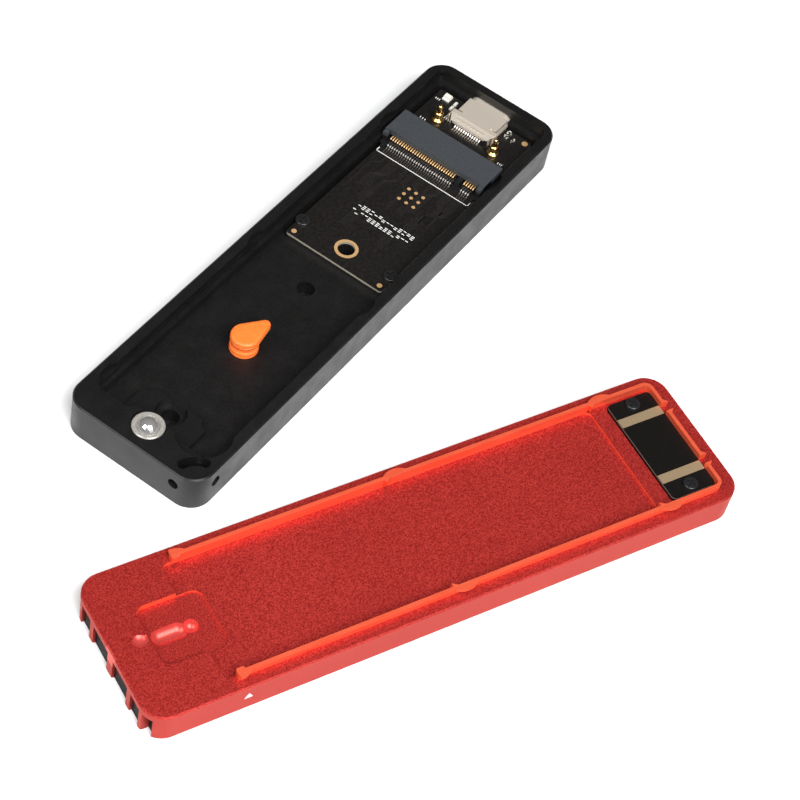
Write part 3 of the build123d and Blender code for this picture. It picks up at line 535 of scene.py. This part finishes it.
def build_housing(bm):
    low, high = board_top, socket_high.z
    inner, outer = 10.0 * mm, socket_high.y
    jaw_front = jaw_x + 0.1 * mm
    jaw_floor = jaw_top - 0.2 * mm
    cheek_front, cheek_top = jaw_x + 0.7 * mm, high - 0.35 * mm
    ear_front = plate_x - 0.35 * mm
    foot_front, foot_top = jaw_x - 0.55 * mm, low + 0.5 * mm
    foot_inner, foot_outer = outer - 1.6 * mm, outer - 0.6 * mm
    key_front, key_half = jaw_x + 0.3 * mm, 0.5 * mm
    add_box(bm, stop_x, socket_high.x, -outer, outer, low, high)
    add_box(bm, plate_x, stop_x, -outer, outer, slot_top, high)
    add_box(bm, jaw_front, stop_x, -outer, outer, low, jaw_floor)
    for side in (-1, 1):
        # the cheek, the plate's ear in front of it, and the solder foot
        y0, y1 = sorted((side * inner, side * outer))
        add_box(bm, cheek_front, stop_x, y0, y1, jaw_floor, cheek_top)
        add_box(bm, ear_front, plate_x, y0, y1, slot_top, high)
        y0, y1 = sorted((side * foot_inner, side * foot_outer))
        add_box(bm, foot_front, jaw_front, y0, y1, low, foot_top)
    add_box(bm, key_front, stop_x, key_y - key_half, key_y + key_half, jaw_floor, slot_top)
    bmesh.ops.bevel(bm, geom=bm.edges[:], offset=0.05 * mm, segments=2, affect="EDGES", profile=0.6)


piece("socket_housing", mesh_from("socket_housing", build_housing), housing, "base", "socket_plastic",
      "socket_body")


def build_rib(bm):
    """Two short posts in line, between two contacts."""
    half = 0.13 * mm
    foot = board_top + 0.1 * mm
    add_box(bm, jaw_x - 0.12 * mm, jaw_x + 0.25 * mm, -half, half, foot, jaw_top + 0.22 * mm)
    add_box(bm, jaw_x + 0.62 * mm, jaw_x + 1.05 * mm, -half, half, foot, jaw_top + 0.36 * mm)
    bmesh.ops.bevel(bm, geom=bm.edges[:], offset=0.02 * mm, segments=1, affect="EDGES")


rib_rows = ((-5.25 * mm, 30), (-9.25 * mm, 5))
ribs = row_mesh("socket_ribs", mesh_from("rib", build_rib), housing, rib_rows)
piece("socket_ribs", ribs, housing, "base", "socket_plastic")


# ---------------------------------------------------------------- USB receptacle
# A drawn steel tube round a black tongue, with a folded steel plate over it whose wings hold
# it to the board. A row of fine tails runs from its back to the board.
bracket_low, bracket_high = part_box("usb_bracket")
steel = Finish("satin_steel", (0.66, 0.60, 0.53), 0.36, 0.5)
brushing = steel.noise(2.5, 4.0, stretch=(1.0, 5.0, 1.0))
steel.paint(steel.mix(brushing, (0.58, 0.51, 0.43, 1), (0.78, 0.70, 0.60, 1)))
steel.rough(steel.span(brushing, 0.3, 0.7, 0.28, 0.42))
steel.bump(brushing, 0.08, 0.01)
dress("usb_shell", steel)
dress("usb_tongue", moulded)
dress("usb_contacts", tin)


def build_bracket(bm):
    thick = 0.16 * mm
    top = bracket_high.z
    wall_top = top - 0.03 * mm
    x0, x1 = bracket_low.x, bracket_high.x
    fold = x0 + 1.5 * mm       # the plate slopes down in front of this line
    wing = x0 + 2.6 * mm       # and narrows behind this one
    notch = wing + 0.35 * mm
    body = 4.1 * mm            # half the width behind the wings
    notch_y = body - 1.2 * mm
    wide = bracket_high.y - thick
    nose = wide - 0.7 * mm
    slope_drop = 0.45 * mm
    half_outline = [(fold, wide), (wing, wide), (wing, notch_y), (notch, notch_y), (notch, body), (x1, body)]
    outline = [(x, -y) for x, y in half_outline] + half_outline[::-1]
    add_slab(bm, outline, top - thick, top)
    slope = ((x0, nose, slope_drop), (x0, -nose, slope_drop), (fold, -wide, 0), (fold, wide, 0))
    skin(bm, [[bm.verts.new((x, y, level - fall)) for x, y, fall in slope] for level in (top - thick, top)])
    for side in (-1, 1):
        # the wing's wall, the body's wall through the board, and the wing's solder foot
        y0, y1 = sorted((side * wide, side * (wide + thick)))
        add_box(bm, x0 + 0.7 * mm, wing, y0, y1, board_top, wall_top)
        y0, y1 = sorted((side * body, side * (body + thick)))
        add_box(bm, notch, x1, y0, y1, board_top - 0.6 * mm, wall_top)
        y0, y1 = sorted((side * (wide + thick), side * (wide + 0.9 * mm)))
        add_box(bm, x0 + 0.9 * mm, wing - 0.2 * mm, y0, y1, board_top, board_top + thick)
    lip_top = top - slope_drop - 0.02 * mm
    lip_y = wide - 1.2 * mm
    add_box(bm, x0, x0 + thick, -lip_y, lip_y, lip_top - 0.5 * mm, lip_top)
    bmesh.ops.bevel(bm, geom=bm.edges[:], offset=0.035 * mm, segments=2, affect="EDGES")


piece("usb_clamp_plate", mesh_from("usb_clamp_plate", build_bracket), steel, "base", "steel", "usb_bracket")


# ---------------------------------------------------------------- spring pins
# Turned brass pins, gilded: a flanged barrel soldered through the board, and a plunger with a
# domed tip that a fine spring holds up. Each plunger moves by itself.
def turned(profile, middle, around=32):
    """A solid of revolution from (radius, z) points, bottom to top, closed at both ends."""
    def build(bm):
        angles = [2 * pi * n / around for n in range(around)]
        skin(bm, [
            [bm.verts.new((middle[0] + radius * cos(a), middle[1] + radius * sin(a), z)) for a in angles]
            for radius, z in profile
        ])
    return build


def arc(radius, z, start, stop, steps):
    """Points of a round profile about (0, z), angles in degrees from straight up."""
    pole = 0.001 * mm          # a pole is a closed flat this small, so that every face has an area
    angles = [radians(start + (stop - start) * n / steps) for n in range(steps + 1)]
    return [(max(radius * sin(a), pole), z + radius * cos(a)) for a in angles]


def smooth(mesh):
    """Round shading all over."""
    for face in mesh.polygons:
        face.use_smooth = True
    return mesh


def smooth_sharp(mesh, angle=35):
    """Round shading except over edges sharper than the angle."""
    smooth(mesh)
    mesh.set_sharp_from_angle(angle=radians(angle))
    return mesh


barrel_low, barrel_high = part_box("pin_barrels")
pin_x = (barrel_low.x + barrel_high.x) / 2
collar_r = (barrel_high.x - barrel_low.x) / 2
pin_y = barrel_high.y - collar_r
flange = collar_r / mm
foot = board_top / mm
rim = barrel_high.z / mm
# (radius, height) in mm: through the board, the flange, the neck, the rolled rim, and its mouth
barrel_profile = [
    (0.70, barrel_low.z / mm), (0.72, foot - 0.1), (flange - 0.15, foot), (flange, foot + 0.12),
    (flange, foot + 0.42), (flange - 0.12, foot + 0.55), (0.72, foot + 0.66), (0.60, foot + 0.85),
    (0.60, rim - 0.85), (0.70, rim - 0.75), (0.84, rim - 0.66), (0.92, rim - 0.45), (0.84, rim - 0.22),
    (0.66, rim - 0.05), (0.56, rim), (0.55, rim - 0.6),
]


def build_barrels(bm):
    for side in (-1, 1):
        turned([(r * mm, z * mm) for r, z in barrel_profile], (pin_x, side * pin_y))(bm)


piece("pin_sleeves", smooth_sharp(mesh_from("pin_sleeves", build_barrels), 50), gold, "base", "gold",
      "pin_barrels")

for name, side in (("left", 1), ("right", -1)):
    plunger_low, plunger_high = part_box(f"pin_plunger_{name}")
    heel, tip = plunger_low.z / mm, plunger_high.z / mm
    stem = [(0.48, heel), (0.49, heel + 0.1), (0.49, tip - 1.5), (0.42, tip - 1.4), (0.42, tip - 0.92)]
    tip_r = 0.5
    dome = arc(tip_r * mm, (tip - tip_r) * mm, 125, 0, 10)
    profile = [(r * mm, z * mm) for r, z in stem] + dome
    mesh = smooth_sharp(mesh_from(f"pin_{name}", turned(profile, (pin_x, side * pin_y))), 50)
    piece(f"pin_tip_{name}", mesh, gold, f"pin_{name}", "gold", f"pin_plunger_{name}")
    dress(f"pin_spring_{name}", steel)


# ---------------------------------------------------------------- ball detent
# A turned steel cartridge pressed into the near end, its bright ring just under the rim, with
# a polished ball held up by a spring.
polished = Finish("polished_steel", (0.72, 0.71, 0.70), 0.10, 0.8)
polished.rough(polished.span(polished.noise(3.0), 0.3, 0.7, 0.08, 0.14))
ball_low, ball_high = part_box("detent_ball")
ball_middle = (ball_low + ball_high) / 2
ball_r = (ball_high.x - ball_low.x) / 2
polish = 0.002 * mm            # the ball is drawn this much small, to stay inside its box
ball_profile = arc(ball_r - polish, ball_middle.z, 180, 0, 32)
piece("detent_ball_polished", smooth(mesh_from("detent_ball", turned(ball_profile, ball_middle, 64))),
      polished, "detent_ball", "polished_steel", "detent_ball")
ring_steel = Finish("turned_steel", (0.70, 0.68, 0.64), 0.30, 0.5)
lathe = ring_steel.noise(4.0, 3.0)
ring_steel.paint(ring_steel.mix(lathe, (0.40, 0.38, 0.35, 1), (0.60, 0.57, 0.53, 1)))
ring_steel.rough(ring_steel.span(lathe, 0.3, 0.7, 0.24, 0.38))
dress("detent_body", ring_steel)
dress("detent_spring", steel)


# ---------------------------------------------------------------- soft plug
# Moulded in clear-orange silicone: a stem that presses into a hole in the bay floor, two round
# beads that the card's edge snaps between, and a drop-shaped head to pull it by.
plug_low, plug_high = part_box("retaining_plug")
plug_r = (plug_high.y - plug_low.y) / 2
plug_x = plug_low.x + plug_r
plug_y = (plug_high.y + plug_low.y) / 2
plug_turn = radians(-13.5)
point_reach = 4.4 * mm         # from the stem's middle to the point's middle
point_r = 0.9 * mm
finest_r = 0.12 * mm           # the point never gets finer than this


def drop(inset, count=72):
    """Outline of the head, drawn in by an inset: a round end and a blunt point."""
    big, small = plug_r - inset, max(point_r - inset, finest_r)
    points = []
    for n in range(count):
        angle = 2 * pi * n / count
        on_point = small + point_reach * cos(angle) > big
        middle, radius = (point_reach, small) if on_point else (0.0, big)
        points.append((middle + radius * cos(angle), radius * sin(angle)))
    return points


def build_plug(bm):
    heel = plug_low.z / mm
    floor = heel + 2.6             # the bay floor
    head = plug_high.z / mm - 1.55
    # (radius, height) in mm: the stem in its hole, the two beads, and the neck under the head
    beads = [
        (1.50, heel), (1.58, heel + 0.2), (1.58, floor - 0.02), (2.35, floor), (2.54, floor + 0.12),
        (2.58, floor + 0.3), (2.50, floor + 0.48), (2.28, floor + 0.56), (2.50, floor + 0.64),
        (2.58, floor + 0.85), (2.50, floor + 1.1), (2.1, floor + 1.25), (1.75, floor + 1.35),
        (1.75, head - 0.05),
    ]
    turned([(r * mm, z * mm) for r, z in beads], (plug_x, plug_y), 48)(bm)
    # (inset, rise) in mm up the head's side, with the fine groove half way
    levels = [(0.35, 0.0), (0.1, 0.05), (0.0, 0.2), (0.0, 0.55), (0.14, 0.62), (0.14, 0.70), (0.0, 0.78),
              (0.0, 1.15), (0.06, 1.32), (0.2, 1.45), (0.42, 1.53), (0.8, 1.55)]
    turn = Matrix.Rotation(plug_turn, 2)
    middle = Vector((plug_x, plug_y))
    rings = []
    for inset, rise in levels:
        corners = [turn @ Vector(point) + middle for point in drop(inset * mm)]
        rings.append([bm.verts.new((*corner, (head + rise) * mm)) for corner in corners])
    skin(bm, rings)


silicone = Finish("orange_silicone", (1.0, 0.26, 0.045), 0.42, 0.0, subsurface_weight=0.25,
                  subsurface_scale=0.0012)
clouding = silicone.noise(0.8, 3.0)
silicone.paint(silicone.mix(clouding, (0.95, 0.15, 0.018, 1), (0.98, 0.22, 0.04, 1)))
silicone.bump(silicone.noise(5.0), 0.08, 0.01)
piece("plug_soft", smooth_sharp(mesh_from("plug_soft", build_plug), 40), silicone, "plug", "orange_silicone",
      "retaining_plug")


# ---------------------------------------------------------------- cover shell
# The cover is milled from one block, blasted and anodised red. The lip, its hooks and the walls
# of the recesses were cut with a finer tool, so they are smoother than the faces; their bright
# orange is partly that smoother cut and partly a painted sheen.
cover_low, cover_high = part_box("cover_shell")
cover_middle = (cover_low + cover_high) / 2
hinge = [joint for joint in frame["joints"] if joint["name"] == "cover_turn"][0]
cover_turn = 2 * atan2(-hinge["axis"][1], -hinge["axis"][0])
lip_stand = 1.3 * mm           # the lip stands this far above the mating face
mating = cover_high.z - lip_stand
side_wall = 1.9 * mm           # left plain outside the lip
end_wall = 2.4 * mm


def cover_place(finish):
    """Object coordinates turned and centred on the cover."""
    back = Matrix.Rotation(-cover_turn, 3, "Z") @ Vector((cover_middle.x, cover_middle.y, 0))
    inputs = {"Vector": finish.place(), "Rotation": (0, 0, -cover_turn), "Location": -back}
    return finish.node("ShaderNodeMapping", None, inputs)


red = Finish("red_anodised", (0.62, 0.03, 0.03), 0.42, 0.45, specular_tint=(1.0, 0.5, 0.42, 1))
where = cover_place(red)
along, across, height = (red.part(where, axis) for axis in "XYZ")
upright = red.part(red.facing(), "Z").size() < 0.7
inside = (across.size() < half_width - side_wall) * (along.size() < half_length - end_wall)
lip_margin = 0.05 * mm
on_lip = height > mating + lip_margin
milled = upright * inside * (height > mating - lip_stand)
cut_and_sheen = (milled + on_lip).least(1.0)
blast = red.noise(4.2, 1.5)
cloud = red.noise(0.05, 2.0)
flats = red.mix(red.span(blast, 0.36, 0.66), (0.27, 0.013, 0.012, 1), (0.55, 0.048, 0.039, 1))
sides = red.mix(red.span(blast, 0.3, 0.7), (0.34, 0.026, 0.020, 1), (0.42, 0.036, 0.028, 1))
faces = red.mix(upright, flats, sides)
faces = red.mix(red.span(cloud, 0.3, 0.7, 0.0, 0.25), faces, (0.22, 0.011, 0.012, 1))
scoring = red.noise(1.2, 2.0, where=where, stretch=(0.15, 1.0, 1.0))
# the milled walls, the lip and its hooks are painted bright orange: partly the smoother cut, partly a
# painted sheen
cut_colour_and_sheen = red.mix(scoring, (0.84, 0.085, 0.034, 1), (0.93, 0.170, 0.085, 1))
near_end = -half_length        # the ball's groove and dimple are rolled smooth by the ball; their lighter red is a painted highlight
groove = (across.size() < 1.9 * mm) * (along < near_end + 16.4 * mm) * (height < mating - 1.17 * mm)
dimple = (across.size() < 1.5 * mm) * (along < near_end + 6.2 * mm) * (height < mating - 0.03 * mm)
rolled_and_highlight = (groove + dimple).least(1.0) * (height > mating - 3.0 * mm)
painted = red.mix(cut_and_sheen, faces, cut_colour_and_sheen)
# the ball's groove and dimple are painted a lighter red as a painted highlight; their lower roughness is the
# rolled polish
red.paint(red.mix(rolled_and_highlight, painted, (0.62, 0.07, 0.06, 1)))
smoothed = (cut_and_sheen + rolled_and_highlight).least(1.0)
red.rough(0.44 - cut_and_sheen * 0.12 - rolled_and_highlight * 0.16)
red.bump(blast * (1 - smoothed) * (1 - upright * 0.8), 0.40, 0.03)
dress("cover_shell", red)


# ---------------------------------------------------------------- contact board and strips
# A small black board screwed to the shelf. Two gold strips meet the spring pins and feed the
# lights under it.
cover_mask = Finish("cover_board_mask", (0.004, 0.003, 0.003), 0.42, 0.0, specular_ior_level=0.18)
edge = cover_mask.part(cover_mask.facing(), "Z").size() < 0.5
# only a thin band at the top of the board's edge is painted pale: partly glass fibre, partly a painted
# highlight
pale_top_depth = 0.25 * mm
glass_and_highlight = cover_mask.mix(cover_mask.noise(6.0), (0.10, 0.09, 0.08, 1), (0.24, 0.22, 0.18, 1))
pale_top_band = cover_mask.part(cover_mask.place(), "Z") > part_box("contact_board")[1].z - pale_top_depth
coated = cover_mask.mix(cover_mask.noise(1.6), (0.003, 0.003, 0.003, 1), (0.007, 0.006, 0.005, 1))
cover_mask.paint(cover_mask.mix(edge * pale_top_band, coated, glass_and_highlight))
dress("contact_board", cover_mask)
strip_gold = Finish("strip_gold", (0.62, 0.44, 0.24), 0.38, 0.7)
brush = strip_gold.noise(3.0, 3.0, stretch=(6.0, 1.0, 1.0), where=cover_place(strip_gold))
strip_gold.paint(strip_gold.mix(brush, (0.50, 0.36, 0.20, 1), (0.64, 0.48, 0.30, 1)))
strip_gold.rough(strip_gold.span(brush, 0.3, 0.7, 0.32, 0.46))
dress("contact_strips", strip_gold)
dress("cover_lights", ceramic)
dress("arrow_mark", ink)


# ---------------------------------------------------------------- light bars
# Smoked acrylic bars laid in the slots of the outer face, dark until the lights shine in them.
smoked = Finish("smoked_acrylic", (0.004, 0.003, 0.003), 0.5, 0.0, specular_ior_level=0.06)
haze = smoked.noise(0.5, 3.0)
smoked.paint(smoked.mix(haze, (0.003, 0.003, 0.003, 1), (0.008, 0.006, 0.006, 1)))
smoked.rough(smoked.span(haze, 0.3, 0.7, 0.44, 0.56))
dress("light_bars", smoked)


# ---------------------------------------------------------------- table, light and camera
# A plain pale table, with a big soft lamp and a weaker one on the viewer's side, and a faint
# low one that lights the near sides.
table_half = 0.9
table_thick = 0.004
table_clear = 0.02 * mm        # keeps the table's face just under the parts


def build_table(bm):
    add_box(bm, -table_half, table_half, -table_half, table_half, -table_thick, -table_clear)


table_top = Finish("pale_table", (0.93, 0.93, 0.93), 0.7)
table_top.rough(table_top.span(table_top.noise(0.02), 0.3, 0.7, 0.65, 0.75))
table = loose_object("table", mesh_from("table", build_table))
table.data.materials.append(table_top.material)

# the camera stands back from the point it is aimed at, lifted and rolled
up = Vector((0, 0, 1))
aim = Vector((-12.30, -25.41, 0.0)) * mm
away = Vector((-0.9149, -0.4038, 0.0)).normalized()
lift = radians(50.678)
roll = radians(14.342)
distance = 398.5 * mm
back = away * cos(lift) + up * sin(lift)
level = up.cross(away).normalized()
upward = back.cross(level)
right = level * cos(roll) + upward * sin(roll)
over = upward * cos(roll) - level * sin(roll)
camera_data = bpy.data.cameras.new("camera")
camera_data.lens = 104.64
camera_data.sensor_width = 36.0
camera_data.clip_start = 0.01
camera = loose_object("camera", camera_data)
turn = Matrix((right, over, back)).transposed().to_4x4()
camera.matrix_world = Matrix.Translation(aim + back * distance) @ turn
bpy.context.scene.camera = camera


def soft_lamp(name, direction, far, wide, watts):
    """A square soft lamp that stands off in a direction and faces the aim point."""
    data = bpy.data.lights.new(name, "AREA")
    data.size = wide
    data.energy = watts
    lamp = loose_object(name, data)
    spot = aim + direction.normalized() * far
    lamp.location = spot
    lamp.rotation_euler = (spot - aim).to_track_quat("Z", "Y").to_euler()


soft_lamp("key", away * 0.75 + level * 0.55 + up * 1.3, 0.7, 0.5, 8.5)
soft_lamp("fill", away * 0.9 - level * 0.9 + up * 1.3, 0.9, 0.55, 5.5)
soft_lamp("low_front", away + level + up * 0.45, 0.8, 0.5, 0.6)

world = bpy.data.worlds.new("studio")
world.use_nodes = True
sky = world.node_tree.nodes["Background"]
sky.inputs["Color"].default_value = (1.0, 1.0, 1.0, 1.0)
sky.inputs["Strength"].default_value = 0.06
bpy.context.scene.world = world
bpy.context.scene.view_settings.view_transform = "Standard"
